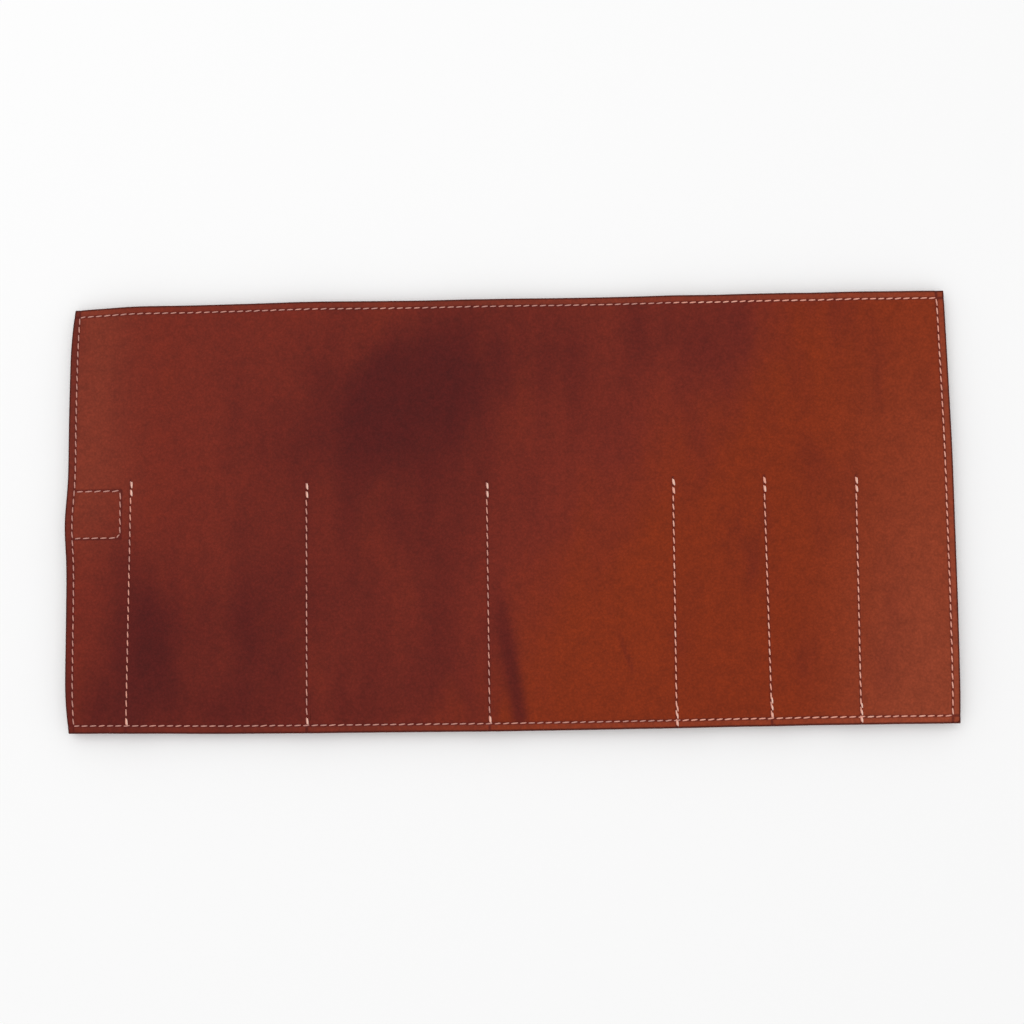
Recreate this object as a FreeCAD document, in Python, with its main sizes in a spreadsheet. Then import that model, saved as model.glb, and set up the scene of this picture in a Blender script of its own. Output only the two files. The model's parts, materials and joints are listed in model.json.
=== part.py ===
"""Leather watch roll, laid open with its plain outside face up, in millimetres.

The roll is a row of columns that fold on each other along the seams between the pockets: a closure
margin at the left, three wide watch pockets and three narrow tool pockets. Above the pocket mouths a
cover flap folds in over them. Each column has an outer leather, a lining and a bellied pocket front, and
carries its own length of flap. X runs along the roll, Y runs up to the flap's free edge, and Z is up.
"""
import FreeCAD, Part
import os

# Driving dimensions: alias, millimetres, meaning.
SIZES = [
    ("watch_1_width", 96.3, "first watch column, fold to fold"),
    ("watch_2_width", 97.2, "second watch column, fold to fold"),
    ("watch_3_width", 99.0, "third watch column, fold to fold"),
    ("tool_1_width", 49.0, "first tool column, fold to fold"),
    ("tool_2_width", 47.5, "second tool column, fold to fold"),
    ("tool_3_width", 47.9, "third tool column, last fold to right edge"),
    ("pocket_height", 131.5, "bottom edge to pocket mouth"),
    ("fold_above_mouth", 4.5, "pocket mouth to the flap's fold line"),
    ("flap_height", 92.0, "fold line to the flap's free edge"),
    ("fold_gap", 0.3, "clearance between the leathers at a fold line"),
    ("outer_leather", 1.6, "outer leather thickness"),
    ("lining_leather", 0.8, "lining thickness"),
    ("pocket_leather", 1.2, "pocket front and margin facing thickness"),
    ("pocket_depth", 5.0, "clear depth inside a pocket"),
    ("seam_flat", 4.2, "flat of a pocket front beside a fold"),
    ("bottom_flat", 6.0, "flat of a pocket front along the bottom edge"),
    ("belly_run", 12.0, "length of the belly's slope"),
    ("mouth_overcut", 2.0, "how far the belly's hollow runs past the mouth"),
    ("edge_margin", 4.0, "outer edge to its stitch line"),
    ("seam_to_fold", 2.1, "divider stitch line to the fold beside it"),
    ("stitch_pitch", 4.55, "hole to hole along a seam"),
    ("stitch_length", 3.3, "length of thread that shows"),
    ("thread_width", 0.8, "width of a laid stitch"),
    ("thread_rise", 0.4, "height of a stitch above the leather"),
    ("tack_spread", 1.3, "distance between the two rows of a back tack"),
    ("box_width", 24.4, "stitched box, edge stitch line to its right side"),
    ("box_height", 25.4, "stitched box along the edge"),
    ("patch_border", 2.8, "patch beyond the stitched box"),
    ("patch_to_fold", 4.4, "patch to the first fold, which sets the closure margin's width"),
    ("patch_below_mouth", 0.4, "pocket mouth's level to the patch"),
    ("patch_leather", 1.2, "patch thickness"),
    ("magnet_radius", 7.0, "closure magnet and keeper radius"),
    ("magnet_seat_gap", 0.2, "clearance round the magnet and the keeper"),
    ("keeper_thick", 0.5, "keeper plate thickness"),
    ("keeper_to_fold", 11.7, "keeper's centre to the fold after its column"),
]
COLUMNS = ["margin", "watch_1", "watch_2", "watch_3", "tool_1", "tool_2", "tool_3"]
POCKETS = COLUMNS[1:]
KEEPER_COLUMN = "tool_1"
SEAMS_TO_THE_EDGE = ["watch_3", "tool_2"]

doc = FreeCAD.newDocument("watch_roll")
sheet = doc.addObject("Spreadsheet::Sheet", "dims")
for row, (alias, value, meaning) in enumerate(SIZES, start=1):
    sheet.set(f"A{row}", meaning)
    sheet.set(f"B{row}", str(value))
    sheet.setAlias(f"B{row}", alias)
doc.recompute()
nodes = []


PATCH_WIDTH = "(dims.edge_margin + dims.box_width + dims.patch_border)"
PATCH_HEIGHT = "(dims.box_height + 2 * dims.patch_border)"


def column_width(name):
    """Expression for a column's width: the closure margin takes its own from the patch."""
    return f"{PATCH_WIDTH} + dims.patch_to_fold" if name == "margin" else f"dims.{name}_width"


def fold_x(index):
    """Expression for a fold line's x: 0 is the left edge and len(COLUMNS) is the right edge."""
    widths = [column_width(name) for name in COLUMNS]
    return " + ".join(["-(" + " + ".join(widths) + ") / 2"] + widths[:index])


def column_sides(name):
    """Expressions for a column's left and right sides, half a fold gap in from each fold."""
    index = COLUMNS.index(name)
    left = fold_x(index) + (" + dims.fold_gap / 2" if index else "")
    is_last = index + 1 == len(COLUMNS)
    right = fold_x(index + 1) + ("" if is_last else " - dims.fold_gap / 2")
    return left, right


# Heights in the plane of the leather, and levels through the layers.
Y_TOP = "(dims.pocket_height + dims.fold_above_mouth + dims.flap_height) / 2"
Y_BOTTOM = f"-{Y_TOP}"
Y_MOUTH = f"{Y_BOTTOM} + dims.pocket_height"
Y_FOLD = f"{Y_MOUTH} + dims.fold_above_mouth"
Y_CLOSURE = f"{Y_MOUTH} - dims.patch_below_mouth - {PATCH_HEIGHT} / 2"
Z_SEAM = "dims.pocket_depth"
Z_LINING = f"{Z_SEAM} + dims.pocket_leather"
Z_OUTER = f"{Z_LINING} + dims.lining_leather"


def bind(thing, **expressions):
    """Bind properties to expressions; x, y and z stand for the placement."""
    for key, expression in expressions.items():
        path = f".Placement.Base.{key}" if key in "xyz" else key
        thing.setExpression(path, expression)
    return thing


def named(thing, label):
    """Keep a finished piece under the name that its file gets."""
    thing.Label = label
    nodes.append(thing)
    return thing


def slab(left, right, low, high, floor, thickness):
    """A flat sheet of leather between two sides, two heights and a level."""
    return bind(
        doc.addObject("Part::Box", "slab"),
        Length=f"({right}) - ({left})",
        Width=f"({high}) - ({low})",
        Height=thickness,
        x=left,
        y=low,
        z=floor,
    )


def disc(x, y, floor, radius, thickness):
    """A round plate or the tool that cuts its seat."""
    return bind(
        doc.addObject("Part::Cylinder", "disc"), Radius=radius, Height=thickness, x=x, y=y, z=floor
    )


def cut(base, tool):
    """Base with the tool's shape taken away."""
    result = doc.addObject("Part::Cut", "cut")
    result.Base = base
    result.Tool = tool
    return result


def belly(left, right, lift, past_mouth):
    """A pocket's tapered belly: widest at the seams, flat underneath, upright at the mouth."""
    wedge = doc.addObject("Part::Wedge", "belly")
    # Turned so that the wedge tapers along Z and its own Z points down the roll.
    wedge.Placement.Rotation = FreeCAD.Rotation(FreeCAD.Vector(1, 0, 0), 90)
    inset = "dims.seam_flat + dims.belly_run"
    rise = "dims.bottom_flat + dims.belly_run"
    mouth = f"-({Y_MOUTH} + {past_mouth})"
    return bind(
        wedge,
        Ymin="0",
        Ymax=Z_LINING,
        Xmin=f"{left} + {inset}",
        Xmax=f"{right} - ({inset})",
        X2min=f"{left} + dims.seam_flat",
        X2max=f"{right} - dims.seam_flat",
        Zmin=mouth,
        Zmax=f"-({Y_BOTTOM} + {rise})",
        Z2min=mouth,
        Z2max=f"-({Y_BOTTOM} + dims.bottom_flat)",
        z=lift,
    )


def add_base_leathers(name):
    """The outer leather and the lining of one column, up to the flap's fold line."""
    left, right = column_sides(name)
    high = f"{Y_FOLD} - dims.fold_gap / 2"
    named(slab(left, right, Y_BOTTOM, high, Z_OUTER, "dims.outer_leather"), f"outer_{name}")
    lining = slab(left, right, Y_BOTTOM, high, Z_LINING, "dims.lining_leather")
    if name == KEEPER_COLUMN:
        lining = add_keeper(lining)
    named(lining, f"lining_{name}")


def add_keeper(lining):
    """A thin steel plate let into the lining's upper face; returns the lining with its seat."""
    x = f"{fold_x(COLUMNS.index(KEEPER_COLUMN) + 1)} - dims.keeper_to_fold"
    floor = f"{Z_OUTER} - dims.keeper_thick"
    seat = disc(x, Y_CLOSURE, floor, "dims.magnet_radius + dims.magnet_seat_gap", "dims.lining_leather")
    named(disc(x, Y_CLOSURE, floor, "dims.magnet_radius", "dims.keeper_thick"), "keeper_plate")
    return cut(lining, seat)


def add_pocket(name):
    """A pocket front: flat along its seams, bellied between them, and open at its mouth."""
    left, right = column_sides(name)
    front = doc.addObject("Part::Fuse", "front")
    front.Base = slab(left, right, Y_BOTTOM, Y_MOUTH, Z_SEAM, "dims.pocket_leather")
    front.Tool = belly(left, right, "0", "0")
    hollow = belly(left, right, "dims.pocket_leather", "dims.mouth_overcut")
    named(cut(front, hollow), f"pocket_{name}")


def add_closure():
    """The margin's facing with the magnet let into it, and the patch sewn over the magnet."""
    left, right = column_sides("margin")
    x = f"{left} + dims.edge_margin + dims.box_width / 2"
    seat_radius = "dims.magnet_radius + dims.magnet_seat_gap"
    facing = slab(left, right, Y_BOTTOM, Y_MOUTH, Z_SEAM, "dims.pocket_leather")
    seat = disc(x, Y_CLOSURE, Z_SEAM, seat_radius, "dims.pocket_leather")
    named(cut(facing, seat), "margin_facing")
    named(disc(x, Y_CLOSURE, Z_SEAM, "dims.magnet_radius", "dims.pocket_leather"), "closure_magnet")
    patch = slab(
        left,
        f"{left} + {PATCH_WIDTH}",
        f"{Y_CLOSURE} - {PATCH_HEIGHT} / 2",
        f"{Y_CLOSURE} + {PATCH_HEIGHT} / 2",
        f"{Z_SEAM} - dims.patch_leather",
        "dims.patch_leather",
    )
    named(patch, "closure_patch")


def add_flap(name):
    """The outer leather and the lining of one column's length of flap."""
    left, right = column_sides(name)
    low = f"{Y_FOLD} + dims.fold_gap / 2"
    named(slab(left, right, low, Y_TOP, Z_OUTER, "dims.outer_leather"), f"flap_outer_{name}")
    named(slab(left, right, low, Y_TOP, Z_LINING, "dims.lining_leather"), f"flap_lining_{name}")


class Places:
    """The sheet's values and the places worked out from them, for the rows of stitches."""

    def __init__(self):
        for alias, _, _ in SIZES:
            setattr(self, alias, float(sheet.get(alias)))
        patch_width = self.edge_margin + self.box_width + self.patch_border
        patch_height = self.box_height + 2 * self.patch_border
        self.margin_width = patch_width + self.patch_to_fold
        widths = [getattr(self, f"{name}_width") for name in COLUMNS]
        self.folds = [sum(widths[:index]) - sum(widths) / 2 for index in range(len(widths) + 1)]
        self.top = (self.pocket_height + self.fold_above_mouth + self.flap_height) / 2
        self.bottom = -self.top
        self.mouth = self.bottom + self.pocket_height
        self.fold = self.mouth + self.fold_above_mouth
        self.closure = self.mouth - self.patch_below_mouth - patch_height / 2
        self.face = self.pocket_depth + self.pocket_leather + self.lining_leather + self.outer_leather
        # Clear space kept between the rows where two seams meet, and beside a fold.
        self.row_clear = self.thread_width + self.fold_gap


def stitch_row(at, x0, y0, x1, y1):
    """Bars of thread along a straight seam, spread evenly, with as many as the pitch allows."""
    start = FreeCAD.Vector(x0, y0, at.face)
    run = FreeCAD.Vector(x1, y1, at.face) - start
    count = max(1, int(run.Length / at.stitch_pitch))
    step = run.Length / count
    length = at.stitch_length * step / at.stitch_pitch
    turn = FreeCAD.Rotation(FreeCAD.Vector(1, 0, 0), run)
    bars = []
    for index in range(count):
        bar = Part.makeBox(length, at.thread_width, at.thread_rise)
        bar.translate(FreeCAD.Vector(index * step + (step - length) / 2, -at.thread_width / 2, 0))
        bar.Placement = FreeCAD.Placement(start, turn).multiply(bar.Placement)
        bars.append(bar)
    return bars


def add_thread(label, bars):
    """A seam's stitches, as one node of separate bars."""
    thread = doc.addObject("Part::Feature", "thread")
    thread.Shape = Part.makeCompound(bars)
    named(thread, label)


def row_ends(at, index):
    """Left and right ends of a column's stretch of the edge seam along the top or bottom."""
    left = at.folds[index] + (at.row_clear if index else at.edge_margin + at.row_clear)
    is_last = index + 1 == len(COLUMNS)
    right = at.folds[index + 1] - (at.edge_margin + at.row_clear if is_last else at.row_clear)
    return left, right


def divider_bars(at, index):
    """The seam beside a column's right fold, with a doubled tack at the mouth."""
    x = at.folds[index + 1] - at.seam_to_fold
    low = at.bottom + at.edge_margin + at.row_clear
    tack_foot = at.mouth - 2 * at.stitch_pitch
    bars = stitch_row(at, x, low, x, tack_foot)
    for side in (-at.tack_spread / 2, at.tack_spread / 2):
        bars += stitch_row(at, x + side, tack_foot, x + side, at.mouth)
    if COLUMNS[index] in SEAMS_TO_THE_EDGE:
        bars += stitch_row(at, x, at.bottom + at.fold_gap, x, at.bottom + at.edge_margin - at.row_clear)
    return bars


def add_column_threads(at, name):
    """The stitches that show on one column and on its length of flap."""
    index = COLUMNS.index(name)
    left, right = row_ends(at, index)
    low, high = at.bottom + at.edge_margin, at.top - at.edge_margin
    base = stitch_row(at, left, low, right, low)
    flap = stitch_row(at, left, high, right, high)
    side = None
    if index == 0:
        side = at.folds[0] + at.edge_margin
    if index + 1 == len(COLUMNS):
        side = at.folds[-1] - at.edge_margin
    else:
        base += divider_bars(at, index)
    if side is not None:
        base += stitch_row(at, side, low + at.row_clear, side, at.fold - at.row_clear)
        flap += stitch_row(at, side, at.fold + at.row_clear, side, high - at.row_clear)
    add_thread(f"thread_{name}", base)
    add_thread(f"flap_thread_{name}", flap)


def add_box_thread(at):
    """Three sides of the stitched box over the closure; the edge seam is its fourth."""
    left = at.folds[0] + at.edge_margin
    right = left + at.box_width
    low, high = at.closure - at.box_height / 2, at.closure + at.box_height / 2
    bars = stitch_row(at, left + at.row_clear, high, right - at.row_clear, high)
    bars += stitch_row(at, right, high - at.row_clear, right, low + at.row_clear)
    bars += stitch_row(at, right - at.row_clear, low, left + at.row_clear, low)
    add_thread("box_thread", bars)


for column in COLUMNS:
    add_base_leathers(column)
    add_flap(column)
for column in POCKETS:
    add_pocket(column)
add_closure()
places = Places()
for column in COLUMNS:
    add_column_threads(places, column)
add_box_thread(places)
doc.recompute()

for thing in doc.Objects:
    if "Invalid" in thing.State or "Error" in thing.State:
        raise RuntimeError(f"{thing.Label} failed: {thing.State}")
for node in nodes:
    if node.Shape.isNull() or not node.Shape.isValid():
        raise RuntimeError(f"{node.Label} has no valid shape")
    if node.TypeId != "Part::Feature" and len(node.Shape.Solids) != 1:
        raise RuntimeError(f"{node.Label} has {len(node.Shape.Solids)} solids instead of one")

os.makedirs("parts", exist_ok=True)
for node in nodes:
    node.Shape.exportStep(os.path.join("parts", f"{node.Label}.step"))
print(len(nodes), "pieces written")
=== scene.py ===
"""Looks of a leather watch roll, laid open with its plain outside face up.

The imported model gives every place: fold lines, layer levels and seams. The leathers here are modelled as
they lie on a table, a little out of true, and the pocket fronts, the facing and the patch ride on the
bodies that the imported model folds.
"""

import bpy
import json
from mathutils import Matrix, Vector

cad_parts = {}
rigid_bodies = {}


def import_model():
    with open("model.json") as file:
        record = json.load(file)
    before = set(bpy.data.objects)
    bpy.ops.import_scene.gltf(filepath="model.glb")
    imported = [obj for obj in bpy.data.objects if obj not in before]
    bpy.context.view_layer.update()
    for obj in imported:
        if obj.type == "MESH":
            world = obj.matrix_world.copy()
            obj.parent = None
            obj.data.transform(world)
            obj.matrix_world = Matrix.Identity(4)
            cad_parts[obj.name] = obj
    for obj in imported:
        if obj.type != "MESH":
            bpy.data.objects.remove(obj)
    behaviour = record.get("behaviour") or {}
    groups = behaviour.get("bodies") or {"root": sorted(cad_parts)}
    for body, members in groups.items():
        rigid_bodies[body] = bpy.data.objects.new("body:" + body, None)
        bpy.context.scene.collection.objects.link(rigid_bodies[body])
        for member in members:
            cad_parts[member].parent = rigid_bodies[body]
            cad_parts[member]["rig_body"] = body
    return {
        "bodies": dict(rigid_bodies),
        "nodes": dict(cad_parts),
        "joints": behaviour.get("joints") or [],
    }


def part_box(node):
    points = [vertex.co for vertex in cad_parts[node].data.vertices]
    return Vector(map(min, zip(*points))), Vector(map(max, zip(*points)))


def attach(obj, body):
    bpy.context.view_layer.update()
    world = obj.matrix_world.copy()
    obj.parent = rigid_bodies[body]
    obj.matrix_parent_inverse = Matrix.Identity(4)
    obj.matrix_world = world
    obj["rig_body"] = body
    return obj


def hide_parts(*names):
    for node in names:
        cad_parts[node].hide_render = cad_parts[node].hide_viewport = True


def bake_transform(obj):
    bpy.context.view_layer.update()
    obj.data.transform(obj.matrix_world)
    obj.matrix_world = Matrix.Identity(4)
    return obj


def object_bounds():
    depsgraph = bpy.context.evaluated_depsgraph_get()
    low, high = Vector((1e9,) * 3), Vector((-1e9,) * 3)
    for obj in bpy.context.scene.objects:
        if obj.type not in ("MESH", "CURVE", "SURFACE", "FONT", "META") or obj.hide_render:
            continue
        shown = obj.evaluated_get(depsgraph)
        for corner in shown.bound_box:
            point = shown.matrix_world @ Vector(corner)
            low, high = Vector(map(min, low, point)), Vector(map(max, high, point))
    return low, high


bl_info = {
    "name": "Leather watch roll",
    "version": (1, 0, 0),
    "blender": (4, 5, 0),
    "location": "View3D > Sidebar > Watch Roll",
    "description": "Leathers, stitching, closure and studio of an open watch roll",
    "category": "Add Mesh",
}

import json
import math

import bmesh
import bpy
import numpy as np
from bpy.props import FloatProperty, FloatVectorProperty, PointerProperty

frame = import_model()
CAD_LOW, CAD_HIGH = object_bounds()

MM = 0.001
COLUMNS = ["margin", "watch_1", "watch_2", "watch_3", "tool_1", "tool_2", "tool_3"]
POCKETS = COLUMNS[1:]
JOINTS = {joint["name"]: joint for joint in frame["joints"]}

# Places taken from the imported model, in metres.
LEFT, RIGHT = CAD_LOW.x, CAD_HIGH.x
BOTTOM, TOP = CAD_LOW.y, CAD_HIGH.y
FOLDS = [LEFT] + [JOINTS[f"fold_{number}"]["pos_m"][0] for number in range(1, len(COLUMNS))] + [RIGHT]
HINGE_Z = JOINTS["fold_1"]["pos_m"][2]
FLAP_Y = JOINTS["flap_fold"]["pos_m"][1]
MOUTH_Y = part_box("pocket_watch_1")[1].y
FACE_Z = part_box("outer_watch_1")[1].z
OUTER_THICK = FACE_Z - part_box("outer_watch_1")[0].z
LINING_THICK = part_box("lining_watch_1")[1].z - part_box("lining_watch_1")[0].z
FRONT_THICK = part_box("margin_facing")[1].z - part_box("margin_facing")[0].z
PATCH_LOW, PATCH_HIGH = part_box("closure_patch")
BOX_LOW, BOX_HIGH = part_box("box_thread")
EDGE_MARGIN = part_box("thread_watch_1")[0].y - BOTTOM
SEAM_TO_FOLD = 2.1 * MM
DIVIDERS = [fold - SEAM_TO_FOLD for fold in FOLDS[1:-1]]
# How far an inner leather is cut short of the outer one: along the ends, and at each fold line.
CUT_INSIDE = 0.3 * MM
CUT_AT_FOLD = 0.06 * MM
# Places of points across the dip of a seam, in millimetres from its middle.
SEAM_STEPS = (-2.4, -1.5, -0.9, -0.45, 0, 0.45, 0.9, 1.5, 2.4)

# How each divider seam departs from true: lean over its height, and how far it passes the mouth.
DIVIDER_LEAN = [1.4 * MM, -0.2 * MM, -0.3 * MM, 0.8 * MM, -0.7 * MM, 1.4 * MM]
DIVIDER_RISE = [2.6 * MM, 0.2 * MM, -1.0 * MM, -0.6 * MM, -0.4 * MM, -1.2 * MM]
RUNS_TO_EDGE = [False, False, False, True, False, True]
# Length of each divider's back tack, in stitches.
HEAD_TACK = 2
FOOT_TACK = [1, 1, 1, 2.5, 2.5, 2.5]
# How bright the thread shows, from 0 to 1: hands have dulled the edges more than the narrow pockets' seams.
EDGE_TONE = 0.4
DULLED_COLUMNS = COLUMNS[:4]
DIVIDER_TONE = [0.55, 0.5, 0.5, 0.8, 0.75, 0.75]
TACK_TONE = 1.0

# Long slow waves in leather that has been rolled: length, heading in degrees, phase and height.
WAVES = [
    (150 * MM, 20, 0.4, 0.22 * MM),
    (96 * MM, 74, 1.9, 0.16 * MM),
    (61 * MM, 118, 4.1, 0.09 * MM),
    (43 * MM, 8, 2.7, 0.05 * MM),
]
# Clouds where the oils darken the hide: centre, half widths and depth.
OIL_CLOUDS = [
    (-56 * MM, 58 * MM, 50 * MM, 40 * MM, 0.68),
    (-2 * MM, 84 * MM, 66 * MM, 38 * MM, 0.50),
    (98 * MM, 98 * MM, 40 * MM, 26 * MM, 0.26),
    (-218 * MM, -98 * MM, 26 * MM, 34 * MM, 0.50),
    (-188 * MM, -60 * MM, 24 * MM, 40 * MM, 0.78),
    (-128 * MM, -62 * MM, 34 * MM, 40 * MM, 0.74),
    (-62 * MM, 0 * MM, 50 * MM, 78 * MM, 0.48),
    (-134 * MM, 26 * MM, 34 * MM, 40 * MM, 0.24),
    (-150 * MM, -105 * MM, 80 * MM, 20 * MM, 0.36),
    (-36 * MM, -84 * MM, 26 * MM, 30 * MM, 0.26),
]
# The hide turns from red brown to tan across this line, from the bottom seam to the flap's edge.
TAN_FOOT = (-22 * MM, -112 * MM)
TAN_HEAD = (150 * MM, 100 * MM)
TAN_WIDTH = 95 * MM
# A soft crease pressed into the leather beside the third divider, and a fainter one to its right; each
# sinks the face a little, and the hide's colour is darkened along it with painted shade.
CREASES = [
    ((-7 * MM, -26 * MM), (7.6 * MM, -112 * MM), 6.4 * MM, 5.4 * MM, 0.9),
    ((57 * MM, -58 * MM), (67 * MM, -86 * MM), 1.7 * MM, 1.7 * MM, 0.5),
]


def linear(hex_colour):
    """An sRGB hex colour as the linear values that a shader takes."""
    channels = [int(hex_colour[start : start + 2], 16) / 255 for start in (1, 3, 5)]
    return tuple(c / 12.92 if c <= 0.04045 else ((c + 0.055) / 1.055) ** 2.4 for c in channels)


def length(name, description, millimetres):
    """A length that a user may change, given in millimetres and kept in metres."""
    return FloatProperty(
        name=name, description=description, default=millimetres * MM, unit="LENGTH", precision=5
    )


def colour(name, description, hex_colour):
    """A colour that a user may change, given as an sRGB hex value."""
    default = linear(hex_colour)
    return FloatVectorProperty(
        name=name, description=description, subtype="COLOR", size=3, min=0, max=1, default=default
    )


class WatchRollSizes(bpy.types.PropertyGroup):
    """Sizes of the leathers as they lie, and of the stitching."""

    flap_droop: length("Flap droop", "How far the flap's free edge sinks between the folds", 2.0)
    fold_droop: length("Fold droop", "How far the flap's free edge sinks on a fold line", 1.0)
    edge_droop: length("Edge droop", "How far the other edges sink", 1.0)
    edge_round: length("Edge round", "How far a burnished edge rounds outwards", 0.55)
    seam_dip: length("Seam dip", "How deep a seam pulls the leather in", 0.28)
    seam_width: length("Seam width", "Half width of the dip along a seam", 1.0)
    stitch_pitch: length("Stitch pitch", "Hole to hole along a seam", 4.55)
    stitch_length: length("Stitch length", "Thread that shows between two holes", 3.55)
    thread_width: length("Thread width", "Width of the waxed thread", 0.68)
    grain_width: length("Grain width", "Width of a pebble of the hide's grain", 1.15)
    cloud_width: length("Cloud width", "Width of the mottling in the hide's colour", 26.0)
    stitch_slant: FloatProperty(
        name="Stitch slant",
        description="How far each stitch leans from its seam",
        default=math.radians(6),
        subtype="ANGLE",
    )


class WatchRollColours(bpy.types.PropertyGroup):
    """Colours of the hide, the thread and the hidden metal."""

    hide: colour("Hide", "Red brown of the waxed hide", "#74271a")
    tan: colour("Tan", "Lighter tan where the hide was pulled", "#822d10")
    # Pale colour of the painted sheen, partly rubbed wax, at both ends, also used for the worn edge band.
    rubbed: colour("Rubbed", "Paler wax where hands rub the ends", "#96462f")
    # Also the colour of the painted shade in the creases and in the grooves beside the seams.
    oil: colour("Oil", "Dark maroon where the oils gather", "#541815")
    edge: colour("Edge", "Burnished edge", "#4a1b13")
    suede: colour("Suede", "Flesh side used as the lining", "#8a5238")
    thread: colour("Thread", "Waxed linen thread", "#e7a08b")
    soiled: colour("Soiled thread", "Thread that hands have darkened", "#c48c80")
    clean: colour("Clean thread", "Thread at the back tacks, sewn twice", "#efc4b3")
    steel: colour("Steel", "Keeper plate", "#9a9a9c")
    nickel: colour("Nickel", "Plated magnet", "#c4c2bd")
    floor: colour("Floor", "Pale table", "#fbfbfb")


def sizes():
    """The scene's sizes."""
    return bpy.context.scene.watch_roll_sizes


def colours():
    """The scene's colours."""
    return bpy.context.scene.watch_roll_colours


# Shape of the leather as it lies


def smooth(value):
    """A soft step from 0 to 1."""
    t = np.clip(value, 0, 1)
    return t * t * (3 - 2 * t)


def bump(value):
    """A soft hump that is 1 at 0."""
    return np.exp(-value * value)


def lay_flat(x, y):
    """Where a point of the cut pattern lies: the hand-cut outline is a little out of true."""
    reach, corner_reach = 30 * MM, 7 * MM
    # Both left corners are trimmed inwards.
    trim, trim_from, trim_run = 2.0 * MM, 84 * MM, 30 * MM
    trimmed = trim * np.clip((np.abs(y) - trim_from) / trim_run, 0, 1) ** 2
    # The patch pushes the left side out, and the right side bows.
    left_out, push, push_y, push_half = -0.3 * MM, 1.5 * MM, -3 * MM, 17 * MM
    left = left_out - push * bump((y - push_y) / push_half)
    right_out, bow = 1.8 * MM, 1.0 * MM
    right = right_out - bow * (y / TOP) ** 2
    # The flap's edge has a low hump and falls away to the left.
    top_out, hump, hump_x, hump_half = 1.45 * MM, 0.6 * MM, -100 * MM, 55 * MM
    top = top_out + hump * bump((x - hump_x) / hump_half)
    fall, fall_from, fall_run = 1.2 * MM, -195 * MM, 40 * MM
    top = top - fall * smooth((fall_from - x) / fall_run)
    # The bottom edge climbs to the right, and a little to the left.
    bottom_out, climb, climb_from, climb_run = 2.0 * MM, 1.8 * MM, -20 * MM, 240 * MM
    bottom = climb * smooth((x - climb_from) / climb_run) - bottom_out
    lift, lift_from, lift_run = 0.8 * MM, -140 * MM, 80 * MM
    bottom = bottom + lift * smooth((lift_from - x) / lift_run)
    new_x = x + left * smooth((LEFT + reach - x) / reach) + right * smooth((x - RIGHT + reach) / reach)
    new_x = new_x + trimmed * smooth((LEFT + corner_reach - x) / corner_reach)
    new_y = y + bottom * smooth((BOTTOM + reach - y) / reach) + top * smooth((y - TOP + reach) / reach)
    return new_x, new_y


def seam_distance(x, y):
    """How far a point of the pattern is from the nearest row of stitches."""
    rows = [
        np.abs(x - LEFT - EDGE_MARGIN),
        np.abs(RIGHT - EDGE_MARGIN - x),
        np.abs(y - BOTTOM - EDGE_MARGIN),
        np.abs(TOP - EDGE_MARGIN - y),
    ]
    for place, lean, rise in zip(DIVIDERS, DIVIDER_LEAN, DIVIDER_RISE):
        past_mouth = np.maximum(y - MOUTH_Y - rise, 0)
        rows.append(np.hypot(x - divider_x(place, lean, y), past_mouth))
    box_x = np.clip(x, LEFT + EDGE_MARGIN, BOX_HIGH.x)
    box_y = np.clip(y, BOX_LOW.y, BOX_HIGH.y)
    outside = np.hypot(x - box_x, y - box_y)
    inside = np.minimum(np.abs(BOX_HIGH.x - x), np.minimum(np.abs(y - BOX_LOW.y), np.abs(BOX_HIGH.y - y)))
    rows.append(np.where(outside > 0, outside, inside))
    return np.minimum.reduce(rows)


def divider_x(place, lean, y):
    """A divider's x at a height: it leans a little over the pocket's height."""
    return place + lean * ((y - BOTTOM) / (MOUTH_Y - BOTTOM) - 0.5)


def crease_depth(x, y):
    """How strongly a point of the pattern lies in a pressed crease, from 0 to 1."""
    depth = np.zeros_like(x)
    head_start, head_fade, foot_end, foot_fade = -0.12, 0.75, 1.06, 0.12
    for (x0, y0), (x1, y1), head_width, foot_width, strength in CREASES:
        run = np.array([x1 - x0, y1 - y0])
        share = ((x - x0) * run[0] + (y - y0) * run[1]) / (run @ run)
        off = ((x - x0) * run[1] - (y - y0) * run[0]) / np.hypot(*run)
        ends = smooth((share - head_start) / head_fade) * smooth((foot_end - share) / foot_fade)
        width = head_width + (foot_width - head_width) * np.clip(share, 0, 1)
        depth = np.maximum(depth, strength * ends * bump(off / width))
    return depth


def between_folds(x, width):
    """0 on a fold line and 1 away from it: the folds stand level, so that they can turn freely."""
    nearest = np.minimum.reduce([np.abs(x - fold) for fold in FOLDS[1:-1]])
    level_half = 1 * MM
    return smooth((nearest - level_half) / width)


def droop(x, y):
    """How far the leather sinks below its flat level."""
    s = sizes()
    flap_curve, flap_run, bottom_run, side_run = 1.8, 36 * MM, 20 * MM, 13 * MM
    reach = np.clip((y - FLAP_Y) / (TOP - FLAP_Y), 0, 1) ** flap_curve
    flap = reach * (s.fold_droop + (s.flap_droop - s.fold_droop) * between_folds(x, flap_run))
    bottom = s.edge_droop * smooth((BOTTOM + bottom_run - y) / bottom_run) * between_folds(x, bottom_run)
    left = s.edge_droop * smooth((LEFT + side_run - x) / side_run)
    right = s.edge_droop * smooth((x - RIGHT + side_run) / side_run)
    return flap + bottom + left + right


def ripple(x, y):
    """Slow waves left in the leather by rolling and by its creases."""
    crease_sink, fold_run = 0.35 * MM, 12 * MM
    height = -crease_sink * crease_depth(x, y)
    for wave, heading, phase, rise in WAVES:
        turn = math.radians(heading)
        along = x * math.cos(turn) + y * math.sin(turn)
        height = height + rise * np.sin(2 * math.pi * along / wave + phase)
    return height * between_folds(x, fold_run)


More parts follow.
